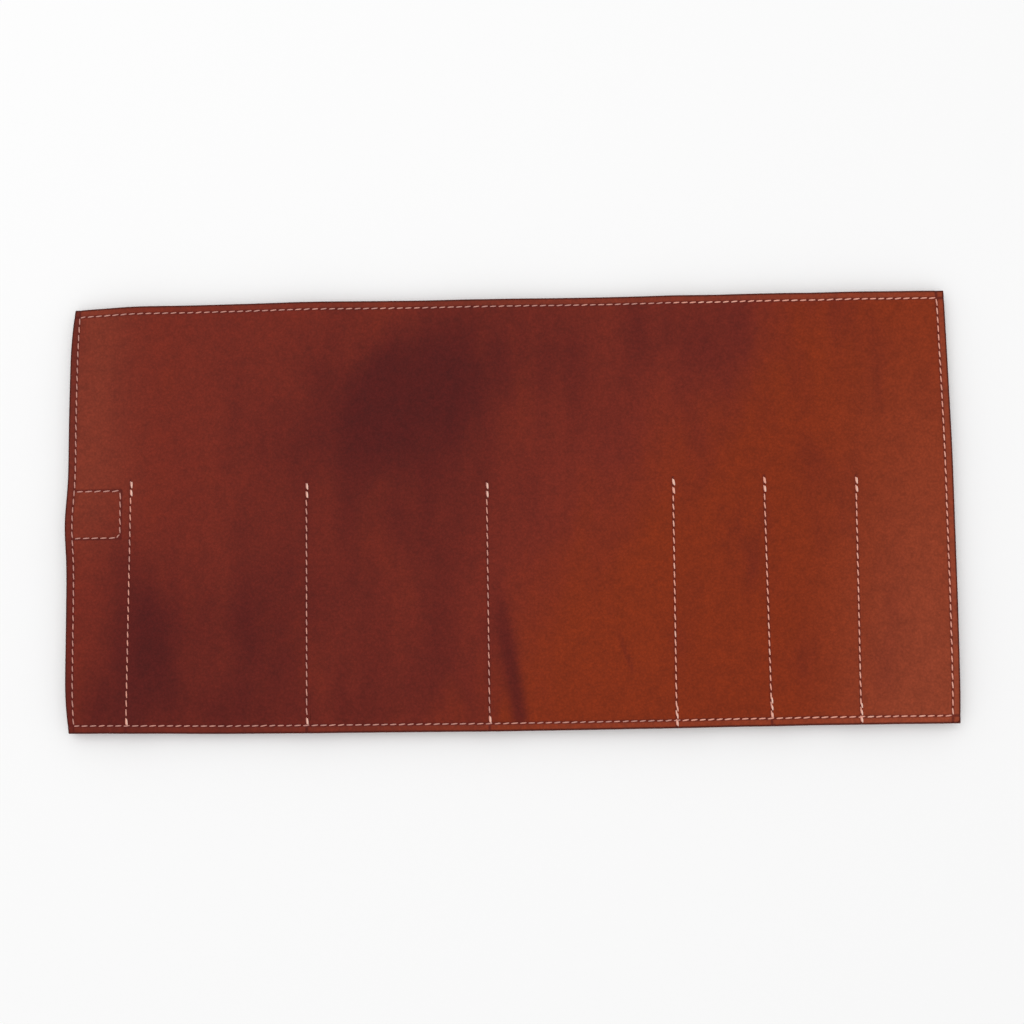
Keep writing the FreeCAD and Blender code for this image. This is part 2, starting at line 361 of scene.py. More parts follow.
def face_point(x, y, below=0.0, dips=True):
    """The outer face over a point of the pattern, or a level that far below it, as rows of x, y and z."""
    s = sizes()
    new_x, new_y = lay_flat(x, y)
    z = FACE_Z - droop(x, y) + ripple(x, y) - below
    if dips:
        z = z - s.seam_dip * bump(seam_distance(x, y) / s.seam_width)
    return np.stack([new_x, new_y, z], axis=-1)


def hide_fields(x, y):
    """What the hide's colour depends on at each point of the pattern, with painted shade in the creases and
    beside the seams, and painted sheen at the ends.
    """
    oil = np.zeros_like(x)
    for centre_x, centre_y, half_x, half_y, depth in OIL_CLOUDS:
        oil = oil + depth * bump(np.hypot((x - centre_x) / half_x, (y - centre_y) / half_y))
    run = np.array([TAN_HEAD[0] - TAN_FOOT[0], TAN_HEAD[1] - TAN_FOOT[1]])
    right_of_line = ((x - TAN_FOOT[0]) * run[1] - (y - TAN_FOOT[1]) * run[0]) / np.hypot(*run)
    open_edge = np.minimum.reduce([RIGHT - x, y - BOTTOM, TOP - y])
    outside_seam, fade, span = 4.5 * MM, 2 * MM, RIGHT - LEFT
    # Painted sheen, partly rubbed wax, pales the right end, more so low down, and the upper part of the
    # left end.
    right_from, right_run, right_rub_and_sheen, right_slope = 130 * MM, 100 * MM, 0.6, 0.4
    rubbed = smooth((x - right_from) / right_run) * (right_rub_and_sheen - right_slope * y / TOP)
    left_from, left_run, left_rub_and_sheen, upper_from, upper_run = -176 * MM, 50 * MM, 0.5, -60 * MM, 80 * MM
    rubbed = rubbed + left_rub_and_sheen * smooth((left_from - x) / left_run) * smooth((y - upper_from) / upper_run)
    # The edge band pales towards the right end, and darkens on the left, where the roll is held.
    left_wear, added_wear, held_share, most_oil = 0.12, 0.3, 0.4, 1.2
    return {
        "rubbed": rubbed,
        "oil": np.clip(oil, 0, most_oil),
        "tan": smooth(right_of_line / TAN_WIDTH + 0.5),
        "edge": np.maximum(np.minimum(open_edge, x - LEFT), 0) / MM,
        "worn": smooth((outside_seam - open_edge) / fade)
        * (left_wear + added_wear * smooth((x - LEFT) / span)),
        "held": held_share * smooth((outside_seam - (x - LEFT)) / fade),
        # The next two drive painted shade: in the grooves beside the seams and in the creases.
        "seam": seam_distance(x, y) / MM,
        "crease": crease_depth(x, y),
    }


# Meshes


def spaced(start, end, step, fine_places=()):
    """Places from start to end about a step apart, and closer beside each place that needs it."""
    count = max(2, int(math.ceil((end - start) / step)) + 1)
    least_gap = 0.2 * MM
    places = list(np.linspace(start, end, count))
    for place in fine_places:
        places += [place + side * MM for side in SEAM_STEPS]
    kept = []
    for place in sorted(p for p in places if start <= p <= end):
        if not kept or place - kept[-1] > least_gap:
            kept.append(place)
    kept[-1] = end
    return np.array(kept)


def new_object(name, points, faces, fields=None, sharp=()):
    """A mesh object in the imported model's frame, with its rest place and fields kept on its points."""
    mesh = bpy.data.meshes.new(name)
    mesh.from_pydata([tuple(p) for p in points], [], [tuple(int(i) for i in face) for face in faces])
    for key, values in (fields or {}).items():
        mesh.attributes.new(key, "FLOAT", "POINT").data.foreach_set("value", values.astype(np.float32))
    rest = mesh.attributes.new("rest_place", "FLOAT_VECTOR", "POINT")
    rest.data.foreach_set("vector", np.asarray(points, np.float32).ravel())
    hard_edges = {frozenset(edge) for edge in sharp}
    is_hard = [frozenset(edge.vertices) in hard_edges for edge in mesh.edges]
    mesh.attributes.new("sharp_edge", "BOOLEAN", "EDGE").data.foreach_set("value", is_hard)
    mesh.polygons.foreach_set("use_smooth", [True] * len(mesh.polygons))
    same_place, no_length = 1e-7, 1e-8
    body = bmesh.new()
    body.from_mesh(mesh)
    bmesh.ops.remove_doubles(body, verts=body.verts, dist=same_place)
    bmesh.ops.dissolve_degenerate(body, edges=body.edges, dist=no_length)
    bmesh.ops.recalc_face_normals(body, faces=body.faces)
    body.to_mesh(mesh)
    body.free()
    thing = bpy.data.objects.new(name, mesh)
    bpy.context.scene.collection.objects.link(thing)
    return thing


def round_side(upper, lower, outward, steps=3):
    """Points of a burnished edge, from the upper side to the lower one."""
    middle, half = (upper + lower) / 2, (upper - lower) / 2
    points = []
    for step in range(1, steps + 1):
        turn = math.pi * step / (steps + 1)
        points.append(middle + half * math.cos(turn) + outward * math.sin(turn))
    return points


def fold_side(upper, lower, direction, half_turn, steps=7):
    """Points of an edge at a fold: the leather rolls on round the hinge, in its neighbour while flat."""
    least_radius, set_back, root_depth = 0.05 * MM, 0.6 * MM, 0.25 * MM
    hinge = upper.copy()
    hinge[:, 2] = HINGE_Z
    radius = np.maximum(upper[:, 2] - HINGE_Z, least_radius)
    hinge[0, 1] += set_back
    hinge[-1, 1] -= set_back
    points = []
    for step in range(1, steps + 1):
        turn = half_turn * step / steps
        arc = hinge.copy()
        arc[:, 0] += direction * radius * math.sin(turn)
        arc[:, 2] += radius * math.cos(turn)
        points.append(arc)
    root = hinge.copy()
    stack_low = upper[:, 2] - inside_level(upper[:, 0], upper[:, 1]) + root_depth
    root[:, 2] = np.minimum(np.maximum(HINGE_Z, stack_low), lower[:, 2])
    points.append(root)
    return points


def sheet(name, xs, ys, upper, lower, left_side, right_side):
    """A closed sheet of leather from its two faces and its two sides; both ends along y are rounded."""
    columns, last_row = len(xs), len(ys) - 1
    flat_x, flat_y = np.meshgrid(xs, ys)
    top, under = upper(flat_x, flat_y), lower(flat_x, flat_y)
    right = right_side(top[:, -1], under[:, -1])
    left = left_side(top[:, 0], under[:, 0])[::-1]
    across = list(range(columns))
    pattern = across + [columns - 1] * len(right) + across[::-1] + [0] * len(left)
    loop = np.concatenate([top, np.stack(right, 1), under[:, ::-1], np.stack(left, 1)], axis=1)
    middle = (top + under)[:, pattern] / 2
    end_turns = [math.radians(turn) for turn in (30, 60, 90)]
    plan = [(0, -1, turn) for turn in reversed(end_turns)]
    plan += [(row, 0, 0.0) for row in range(len(ys))]
    plan += [(last_row, 1, turn) for turn in end_turns]
    rings = []
    for row, way, turn in plan:
        ring = middle[row] + (loop[row] - middle[row]) * math.cos(turn)
        ring[:, 1] += way * sizes().edge_round * math.sin(turn)
        rings.append(ring)
    count = len(pattern)
    faces, sharp = [], []
    first_under, first_left = columns + len(right), 2 * columns + len(right)
    hard = []
    if right_side is not burnished_right:
        hard += [columns - 1, first_under - 2, first_under - 1, first_under]
    if left_side is not burnished_left:
        hard += [0, first_left - 1, first_left, (first_left + 1) % count]
    for base in range(0, count * (len(rings) - 1), count):
        after = base + count
        for i, j in enumerate([*range(1, count), 0]):
            faces.append((base + i, base + j, after + j, after + i))
        sharp += [(base + i, after + i) for i in hard]
    rows = [row for row, _, _ in plan]
    fields = hide_fields(np.tile(xs[pattern], len(rings)), np.repeat(ys[rows], count))
    edge = fields["edge"].reshape(len(rings), count)
    edge[: len(end_turns)] = edge[-len(end_turns) :] = 0
    if right_side is burnished_right:
        edge[:, columns:first_under] = 0
    if left_side is burnished_left:
        edge[:, first_left:] = 0
    return new_object(name, np.concatenate(rings), faces, fields, sharp)


def burnished_left(upper, lower):
    """The roll's own left edge."""
    return round_side(upper, lower, np.array([-sizes().edge_round, 0, 0]))


def burnished_right(upper, lower):
    """The roll's own right edge."""
    return round_side(upper, lower, np.array([sizes().edge_round, 0, 0]))


def straight_side(upper, lower):
    """A cut edge with no roundness, where a sheet meets its neighbour."""
    return [(upper + lower) / 2]


def column_sides(name):
    """A column's left and right fold lines, and whether each is the roll's own edge."""
    index = COLUMNS.index(name)
    return FOLDS[index], FOLDS[index + 1], index == 0, index + 1 == len(COLUMNS)


def fold_turn(number):
    """Half of a fold's greatest turn, less a hair, so that its two sides meet and don't cross."""
    hair_deg = 0.2
    return math.radians(JOINTS[f"fold_{number}"]["range_deg"][1] / 2 - hair_deg)


def row_places(low, high):
    """Rows along y, close together over the flap's fold and beside the seams."""
    row_step, least_gap = 2.4 * MM, 0.25 * MM
    bend_half_mm, bend_step_mm = 6, 0.75
    offsets = np.arange(-bend_half_mm, bend_half_mm + bend_step_mm / 2, bend_step_mm)
    bend = [FLAP_Y + offset * MM for offset in offsets]
    seams = [BOTTOM + EDGE_MARGIN, TOP - EDGE_MARGIN, BOX_LOW.y, BOX_HIGH.y, MOUTH_Y]
    places = np.concatenate([spaced(low, high, row_step, seams), [b for b in bend if low < b < high]])
    kept = [low]
    for place in np.sort(places):
        if place - kept[-1] > least_gap:
            kept.append(place)
    kept[-1] = high
    return np.array(kept)


def column_places(name, inset=0.0):
    """Columns along x, close together beside the seams; inset moves a fold side back from its fold."""
    left, right, first, last = column_sides(name)
    column_step = 1.6 * MM
    seams = DIVIDERS + [LEFT + EDGE_MARGIN, RIGHT - EDGE_MARGIN, BOX_HIGH.x]
    return spaced(left + (0 if first else inset), right - (0 if last else inset), column_step, seams)


def bend_with_flap(piece):
    """Bakes the piece's placing into its points; it is not tied to a body, so it stays where it lies when
    the roll folds.
    """
    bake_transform(piece)


# Leathers


def make_outer(name):
    """One column of the outer leather, with its length of flap."""
    index = COLUMNS.index(name)
    _, _, first, last = column_sides(name)

    def left_fold(upper, lower):
        return fold_side(upper, lower, -1, fold_turn(index))

    def right_fold(upper, lower):
        return fold_side(upper, lower, 1, fold_turn(index + 1))

    piece = sheet(
        f"outer_leather_{name}",
        column_places(name),
        row_places(BOTTOM, TOP),
        face_point,
        lambda x, y: face_point(x, y, OUTER_THICK),
        burnished_left if first else left_fold,
        burnished_right if last else right_fold,
    )
    bend_with_flap(piece)
    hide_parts(f"outer_{name}", f"flap_outer_{name}")
    return piece


def make_lining(name):
    """One column of the lining, cut a hair inside the outer leather, with its length of flap."""
    _, _, first, last = column_sides(name)
    piece = sheet(
        f"lining_leather_{name}",
        column_places(name, CUT_AT_FOLD),
        row_places(BOTTOM + CUT_INSIDE, TOP - CUT_INSIDE),
        lambda x, y: face_point(x, y, OUTER_THICK),
        lambda x, y: face_point(x, y, OUTER_THICK + LINING_THICK, dips=False),
        burnished_left if first else straight_side,
        burnished_right if last else straight_side,
    )
    bend_with_flap(piece)
    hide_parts(f"lining_{name}", f"flap_lining_{name}")
    return piece


def belly_share(name, x, y):
    """How far a pocket's front has dropped from its seams towards the table, from 0 to 1."""
    left, right, _, _ = column_sides(name)
    flat, run, bottom_flat = 4.2 * MM, 14 * MM, 6 * MM
    across = np.minimum(x - left, right - x) - flat
    return smooth(across / run) * smooth((y - BOTTOM - bottom_flat) / run)


def make_pocket(name):
    """A pocket's front: flat at its seams, bellied between them, and open at its mouth."""
    above = OUTER_THICK + LINING_THICK
    _, _, _, last = column_sides(name)

    def front(x, y, thickness):
        points = face_point(x, y, above + FRONT_THICK, dips=False)
        points[..., 2] = points[..., 2] * (1 - belly_share(name, x, y)) + thickness
        return points

    piece = sheet(
        f"pocket_front_{name}",
        column_places(name, CUT_AT_FOLD),
        row_places(BOTTOM + CUT_INSIDE, MOUTH_Y),
        lambda x, y: front(x, y, FRONT_THICK),
        lambda x, y: front(x, y, 0.0),
        straight_side,
        burnished_right if last else straight_side,
    )
    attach(piece, name)
    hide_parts(f"pocket_{name}")
    return piece


def make_facing():
    """The closure margin's facing, level with the pocket fronts' seams."""
    above = OUTER_THICK + LINING_THICK
    piece = sheet(
        "margin_facing_leather",
        column_places("margin", CUT_AT_FOLD),
        row_places(BOTTOM + CUT_INSIDE, MOUTH_Y),
        lambda x, y: face_point(x, y, above, dips=False),
        lambda x, y: face_point(x, y, above + FRONT_THICK, dips=False),
        burnished_left,
        straight_side,
    )
    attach(piece, "margin")
    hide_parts("margin_facing")
    return piece


def make_patch():
    """The patch sewn over the magnet; it stands a little proud of the roll's left edge."""
    proud, proud_reach, step = 0.5 * MM, 6 * MM, 2 * MM
    above = OUTER_THICK + LINING_THICK + FRONT_THICK
    xs = spaced(PATCH_LOW.x, PATCH_HIGH.x, step)
    ys = spaced(PATCH_LOW.y, PATCH_HIGH.y, step)

    def level(x, y, below):
        points = face_point(x, y, below, dips=False)
        points[..., 0] -= proud * smooth((PATCH_LOW.x + proud_reach - x) / proud_reach)
        return points

    piece = sheet(
        "closure_patch_leather",
        xs,
        ys,
        lambda x, y: level(x, y, above),
        lambda x, y: level(x, y, above + PATCH_HIGH.z - PATCH_LOW.z),
        burnished_left,
        burnished_right,
    )
    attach(piece, "margin")
    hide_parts("closure_patch")
    return piece


# Stitching


def stitches_along(path, tone, pitch_share=1.0):
    """Stitches spread evenly along a path of pattern points: two holes and a brightness to each."""
    s = sizes()
    path = np.asarray(path, float)
    steps = np.hypot(*np.diff(path, axis=0).T)
    along = np.concatenate([[0], np.cumsum(steps)])
    count = max(1, round(along[-1] / (s.stitch_pitch * pitch_share)))
    pitch = along[-1] / count
    shown = pitch * s.stitch_length / s.stitch_pitch
    starts = np.arange(count) * pitch + (pitch - shown) / 2
    ends = starts + shown
    columns = [np.interp(places, along, path[:, axis]) for places in (starts, ends) for axis in (0, 1)]
    return np.stack([*columns, np.full(count, tone)], axis=1)


def box_stitches():
    """Three sides of the stitched box, with its lower right corner cut across."""
    half_stitch, from_edge_row, corner_gap, cut = 0.4 * MM, 0.8 * MM, 0.4 * MM, 1.9 * MM
    left, right = LEFT + EDGE_MARGIN + from_edge_row, BOX_HIGH.x - half_stitch
    low, high = BOX_LOW.y + half_stitch, BOX_HIGH.y - half_stitch
    runs = [
        [(left, high), (right - corner_gap, high)],
        [(right, high - corner_gap), (right, low + cut)],
        [(right, low + cut), (right - cut, low)],
        [(right - cut, low), (left, low)],
    ]
    return [stitches_along(run, EDGE_TONE) for run in runs]


def divider_stitches(index):
    """A divider's seam, with its stitches doubled at the mouth and at the bottom edge."""
    place, lean, rise = DIVIDERS[index], DIVIDER_LEAN[index], DIVIDER_RISE[index]
    from_edge, beside, low_slip, high_slip, closer = 0.4 * MM, 0.55 * MM, 0.2 * MM, 0.4 * MM, 0.8
    foot = BOTTOM + (from_edge if RUNS_TO_EDGE[index] else EDGE_MARGIN)
    head = MOUTH_Y + rise
    ends = [(divider_x(place, lean, y), y) for y in (foot, head)]
    rows = [stitches_along(ends, DIVIDER_TONE[index])]
    pitch = sizes().stitch_pitch
    for low, high in ((head - HEAD_TACK * pitch, head), (foot, foot + FOOT_TACK[index] * pitch)):
        path = [(divider_x(place, lean, y) + beside, y) for y in (low - low_slip, high - high_slip)]
        rows.append(stitches_along(path, TACK_TONE, closer))
    return rows


def column_stitches(name):
    """Every stitch of one column and its flap, on the cut pattern."""
    index = COLUMNS.index(name)
    left, right, first, last = column_sides(name)
    side_left, side_right = LEFT + EDGE_MARGIN, RIGHT - EDGE_MARGIN
    x0, x1 = (side_left if first else left), (side_right if last else right)
    low, high = BOTTOM + EDGE_MARGIN, TOP - EDGE_MARGIN
    tone = EDGE_TONE if name in DULLED_COLUMNS else DIVIDER_TONE[-1]
    rows = [stitches_along([(x0, y), (x1, y)], tone) for y in (low, high)]
    if not last:
        rows += divider_stitches(index)
    for is_side, x in ((first, side_left), (last, side_right)):
        if is_side:
            rows.append(stitches_along([(x, low), (x, high)], tone))
    if first:
        rows += box_stitches()
    return np.concatenate(rows)


def inside_level(x, y):
    """How far below the outer face the roll's inside lies under a row of stitches."""
    covered = OUTER_THICK + LINING_THICK + np.where(y < MOUTH_Y, FRONT_THICK, 0)
    in_patch = (x < PATCH_HIGH.x) & (y > PATCH_LOW.y) & (y < PATCH_HIGH.y)
    return covered + np.where(in_patch, PATCH_HIGH.z - PATCH_LOW.z, 0)


def thread_mesh(name, stitches, up, seed):
    """Two-ply thread from hole to hole: each stitch rises out of one hole and dives into the next."""
    s = sizes()
    rng = np.random.default_rng(seed)
    count, rings, sides = len(stitches), 9, 10
    lean_spread, length_spread, tone_spread = math.radians(2.2), 0.035, 0.14
    # In thread radii: how far a stitch arches up, how deep it sits, and the relief of its two plies.
    arch_rise, sunk, ply_relief = 1.05, 0.75, 0.13
    # How far the plies turn from a stitch's middle to its end, in radians.
    ply_twist = 2.4
    # In thread widths: at a hole, of a dull stitch, and what full brightness adds. Then height over width.
    hole_width, dull_width, bright_width, flattened = 0.62, 0.84, 0.3, 0.8
    starts, ends, tones = stitches[:, 0:2], stitches[:, 2:4], stitches[:, 4]
    middle = (starts + ends) / 2
    half = (ends - starts) / 2
    lean = s.stitch_slant + rng.normal(0, lean_spread, count)
    cos, sin = np.cos(lean), np.sin(lean)
    turned = np.stack([half[:, 0] * cos - half[:, 1] * sin, half[:, 0] * sin + half[:, 1] * cos], axis=-1)
    turned *= rng.normal(1, length_spread, count)[:, None]
    t = np.linspace(-1, 1, rings)
    flat = middle[:, None, :] + turned[:, None, :] * t[None, :, None]
    below = np.zeros(flat.shape[:2]) if up > 0 else inside_level(flat[..., 0], flat[..., 1])
    centre = face_point(flat[..., 0], flat[..., 1], below, dips=up > 0)
    arch = np.sqrt(np.clip(1 - t**4, 0, 1))
    radius = s.thread_width / 2
    rise = radius * (arch_rise * arch - sunk)
    centre[..., 2] += up * rise[None, :]
    ahead = np.gradient(centre, axis=1)
    ahead /= np.linalg.norm(ahead, axis=-1, keepdims=True)
    side = np.cross(np.array([0, 0, float(up)]), ahead)
    side /= np.linalg.norm(side, axis=-1, keepdims=True)
    over = np.cross(ahead, side)
    turn = np.linspace(0, 2 * math.pi, sides, endpoint=False)
    twist = ply_twist * t[:, None] + turn[None, :]
    ply = 1 + ply_relief * np.cos(2 * twist)
    shape = radius * ply * (hole_width + (1 - hole_width) * arch)[:, None]
    shape = shape[None] * (dull_width + bright_width * tones)[:, None, None]
    wide, tall = shape * np.cos(turn), flattened * shape * np.sin(turn)
    ring = centre[:, :, None, :] + side[:, :, None, :] * wide[..., None]
    ring = ring + over[:, :, None, :] * tall[..., None]
    points = ring.reshape(-1, 3)
    faces = []
    for stitch in range(count):
        base = stitch * rings * sides
        for row in range(rings - 1):
            for i in range(sides):
                j = (i + 1) % sides
                a, b = base + row * sides, base + (row + 1) * sides
                faces.append((a + i, a + j, b + j, b + i))
        faces.append(tuple(base + i for i in reversed(range(sides))))
        faces.append(tuple(base + (rings - 1) * sides + i for i in range(sides)))
    tone = np.repeat(tones + rng.uniform(-tone_spread, tone_spread, count), rings * sides)
    return new_object(name, points, faces, {"tone": tone})


def make_stitching(name):
    """The stitches of one column, on its outside and on its inside."""
    stitches = column_stitches(name)
    seed = 40 + COLUMNS.index(name)
    outside = thread_mesh(f"stitching_{name}", stitches, 1, seed)
    inside = thread_mesh(f"inside_stitching_{name}", stitches, -1, seed + 20)
    for piece in (outside, inside):
        bend_with_flap(piece)
    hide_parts(f"thread_{name}", f"flap_thread_{name}")
    if name == "margin":
        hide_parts("box_thread")
    return [outside, inside]


# Materials


def add_node(tree, kind, inputs=None, **settings):
    """A node with its settings; each input is a value, or another node's output socket."""
    node = tree.nodes.new(kind)
    for key, value in settings.items():
        setattr(node, key, value)
    for key, value in (inputs or {}).items():
        if isinstance(value, bpy.types.NodeSocket):
            tree.links.new(value, node.inputs[key])
        else:
            node.inputs[key].default_value = value
    return node


def new_material(name, **constants):
    """A material with its shader's constants set; returns the material, its tree and its shader."""
    material = bpy.data.materials.new(name)
    material.use_nodes = True
    shader = material.node_tree.nodes["Principled BSDF"]
    for key, value in constants.items():
        shader.inputs[key.replace("_", " ")].default_value = value
    return material, material.node_tree, shader


def rgba(values):
    """A colour with full alpha."""
    return (*values, 1.0)


def pebbled_grain(tree, place, width):
    """A hide's grain: low rounded pebbles of uneven size, as the distance from each pebble's middle."""
    sway = add_node(tree, "ShaderNodeTexNoise", {"Vector": place, "Scale": 1 / (6 * width), "Detail": 2.0})
    inputs = {0: sway.outputs["Color"], 1: (2 * width,) * 3, 2: place}
    swayed = add_node(tree, "ShaderNodeVectorMath", inputs, operation="MULTIPLY_ADD").outputs[0]
    inputs = {"Vector": swayed, "Scale": 1 / width, "Smoothness": 0.35}
    return add_node(tree, "ShaderNodeTexVoronoi", inputs, feature="SMOOTH_F1").outputs["Distance"]


def waxed_pull_up_leather():
    """Waxed pull-up cowhide, drum dyed and hot stuffed with oils and wax."""
    # The oils gather in dark clouds and drain from where the hide was pulled or rubbed, so its colour
    # wanders, and the wax leaves a low gloss over a fine grain. Painted shade darkens the creases and the
    # grooves beside the seams, and a painted sheen, partly rubbed wax, pales both ends. The pebbles are
    # drawn twice as wide as real ones, to show.
    s, c = sizes(), colours()
    material, tree, shader = new_material("waxed_pull_up_leather", Specular_IOR_Level=0.1, IOR=1.45)
    place = add_node(tree, "ShaderNodeAttribute", attribute_name="rest_place").outputs["Vector"]
    inputs = {0: place, 1: (1, 0.4, 1)}
    drawn = add_node(tree, "ShaderNodeVectorMath", inputs, operation="MULTIPLY").outputs[0]
    value = {"grain": pebbled_grain(tree, place, s.grain_width)}
    for name in ("tan", "oil", "rubbed", "crease", "seam", "edge", "worn", "held"):
        value[name] = add_node(tree, "ShaderNodeAttribute", attribute_name=name).outputs["Fac"]
    for name, spot, width, detail, roughness in (
        ("cloud", drawn, s.cloud_width, 4.0, 0.5),
        ("mottle", place, 6 * MM, 8.0, 0.75),
        ("speck", place, 1.7 * MM, 3.0, 0.7),
    ):
        inputs = {"Vector": spot, "Scale": 1 / width, "Detail": detail, "Roughness": roughness}
        value[name] = add_node(tree, "ShaderNodeTexNoise", inputs).outputs["Fac"]
    inputs = {0: value["cloud"], 1: 1.1, 2: value["tan"]}
    value["tan"] = add_node(tree, "ShaderNodeMath", inputs, operation="MULTIPLY_ADD").outputs[0]
    inputs = {0: value["cloud"], 1: -1.1, 2: value["oil"]}
    value["oil"] = add_node(tree, "ShaderNodeMath", inputs, operation="MULTIPLY_ADD").outputs[0]
    share = {}
    for name, source, low, high, new_low, new_high in (
        ("tan", "tan", 0.55, 1.55, 0.0, 1.0),
        ("oil", "oil", -0.65, 0.45, 0.0, 1.0),
        # painted sheen, partly rubbed wax, at both ends
        ("rubbed", "rubbed", 0.0, 1.0, 0.0, 0.6),
        # painted shade in the creases
        ("crease", "crease", 0.0, 1.0, 0.0, 0.85),
        # painted shade in the grooves beside the seams
        ("seam", "seam", 0.2, 1.2, 0.7, 0.0),
        ("edge", "edge", 0.1, 0.8, 0.9, 0.0),
        ("mottle", "mottle", 0.2, 0.8, 0.84, 1.18),
        ("speck", "speck", 0.25, 0.75, 0.9, 1.1),
        ("grain", "grain", 0.1, 0.8, 1.06, 0.9),
        ("rough", "mottle", 0.25, 0.75, 0.44, 0.6),
    ):
        inputs = {"Value": value[source], "From Min": low, "From Max": high}
        inputs.update({"To Min": new_low, "To Max": new_high})
        node = add_node(tree, "ShaderNodeMapRange", inputs, interpolation_type="SMOOTHSTEP")
        share[name] = node.outputs["Result"]
    share["worn"], share["held"] = value["worn"], value["held"]
    hide = rgba(c.hide)
    for name, coat in (
        ("tan", c.tan),
        # painted sheen: both ends are paled with the rubbed colour
        ("rubbed", c.rubbed),
        ("oil", c.oil),
        # painted shade: the creases are darkened with the oil colour
        ("crease", c.oil),
        ("worn", c.rubbed),
        ("held", c.oil),
        # painted shade: the grooves beside the seams are darkened with the oil colour
        ("seam", c.oil),
        ("edge", c.edge),
    ):
        inputs = {0: share[name], 6: hide, 7: rgba(coat)}
        hide = add_node(tree, "ShaderNodeMix", inputs, data_type="RGBA").outputs[2]
    for name in ("mottle", "speck", "grain"):
        inputs = {0: 1.0, 6: hide, 7: share[name]}
        hide = add_node(tree, "ShaderNodeMix", inputs, data_type="RGBA", blend_type="MULTIPLY").outputs[2]
    inputs = {0: value["grain"], 1: -0.8, 2: value["mottle"]}
    height = add_node(tree, "ShaderNodeMath", inputs, operation="MULTIPLY_ADD").outputs[0]
    relief = add_node(tree, "ShaderNodeBump", {"Height": height, "Distance": 0.1 * MM})
    tree.links.new(hide, shader.inputs["Base Color"])
    tree.links.new(share["rough"], shader.inputs["Roughness"])
    tree.links.new(relief.outputs["Normal"], shader.inputs["Normal"])
    return material


def plated_pull_up_leather():
    """Waxed pull-up cowhide, plated smooth in a hot press, for the pocket fronts and the closure."""
    # The press spreads the wax and closes the grain, so it is quieter and duller than the outside.
    s, c = sizes(), colours()
    material, tree, shader = new_material("plated_pull_up_leather", Specular_IOR_Level=0.2, IOR=1.45)
    place = add_node(tree, "ShaderNodeAttribute", attribute_name="rest_place").outputs["Vector"]
    edge = add_node(tree, "ShaderNodeAttribute", attribute_name="edge").outputs["Fac"]
    grain = pebbled_grain(tree, place, 0.8 * s.grain_width)
    inputs = {"Vector": place, "Scale": 1 / (9 * MM), "Detail": 5.0, "Roughness": 0.6}
    mottle = add_node(tree, "ShaderNodeTexNoise", inputs).outputs["Fac"]
    share = {}
    for name, source, low, high, new_low, new_high in (
        ("tan", mottle, 0.3, 0.7, 0.0, 1.0),
        ("edge", edge, 0.1, 0.8, 0.9, 0.0),
        ("grain", grain, 0.1, 0.8, 1.05, 0.88),
        ("rough", mottle, 0.3, 0.7, 0.52, 0.64),
    ):
        inputs = {"Value": source, "From Min": low, "From Max": high, "To Min": new_low, "To Max": new_high}
        node = add_node(tree, "ShaderNodeMapRange", inputs, interpolation_type="SMOOTHSTEP")
        share[name] = node.outputs["Result"]
    hide = rgba(c.hide)
    for name, coat in (("tan", c.tan), ("edge", c.edge)):
        inputs = {0: share[name], 6: hide, 7: rgba(coat)}
        hide = add_node(tree, "ShaderNodeMix", inputs, data_type="RGBA").outputs[2]
    inputs = {0: 1.0, 6: hide, 7: share["grain"]}
    hide = add_node(tree, "ShaderNodeMix", inputs, data_type="RGBA", blend_type="MULTIPLY").outputs[2]
    relief = add_node(tree, "ShaderNodeBump", {"Height": grain, "Distance": 0.08 * MM}, invert=True)
    tree.links.new(hide, shader.inputs["Base Color"])
    tree.links.new(share["rough"], shader.inputs["Roughness"])
    tree.links.new(relief.outputs["Normal"], shader.inputs["Normal"])
    return material


def split_suede():
    """Split suede, brushed to a short nap, for the lining."""
    # Its fibres scatter the light, so it has no gloss, a soft sheen at a low angle, and lighter and darker
    # strokes where the nap was brushed. The fibres are drawn some ten times as wide as real ones, to show.
    c = colours()
    material, tree, shader = new_material(
        "split_suede", Specular_IOR_Level=0.1, Roughness=0.95, Sheen_Weight=0.25, Sheen_Roughness=0.5
    )
    place = add_node(tree, "ShaderNodeAttribute", attribute_name="rest_place").outputs["Vector"]
    value = {"edge": add_node(tree, "ShaderNodeAttribute", attribute_name="edge").outputs["Fac"]}
    for name, width, roughness in (("stroke", 14 * MM, 0.6), ("fibre", 0.7 * MM, 0.75)):
        inputs = {"Vector": place, "Scale": 1 / width, "Detail": 3.0, "Roughness": roughness}
        value[name] = add_node(tree, "ShaderNodeTexNoise", inputs).outputs["Fac"]
    share = {}
    for name, low, high, new_low, new_high in (
        ("stroke", 0.3, 0.7, 0.84, 1.1),
        ("fibre", 0.3, 0.7, 0.82, 1.12),
        ("edge", 0.1, 0.8, 0.9, 0.0),
    ):
        inputs = {"Value": value[name], "From Min": low, "From Max": high}
        inputs.update({"To Min": new_low, "To Max": new_high})
        node = add_node(tree, "ShaderNodeMapRange", inputs, interpolation_type="SMOOTHSTEP")
        share[name] = node.outputs["Result"]
    inputs = {0: share["edge"], 6: rgba(c.suede), 7: rgba(c.edge)}
    suede = add_node(tree, "ShaderNodeMix", inputs, data_type="RGBA").outputs[2]
    for name in ("stroke", "fibre"):
        inputs = {0: 1.0, 6: suede, 7: share[name]}
        suede = add_node(tree, "ShaderNodeMix", inputs, data_type="RGBA", blend_type="MULTIPLY").outputs[2]
    relief = add_node(tree, "ShaderNodeBump", {"Height": value["fibre"], "Distance": 0.18 * MM})
    tree.links.new(suede, shader.inputs["Base Color"])
    tree.links.new(relief.outputs["Normal"], shader.inputs["Normal"])
    return material


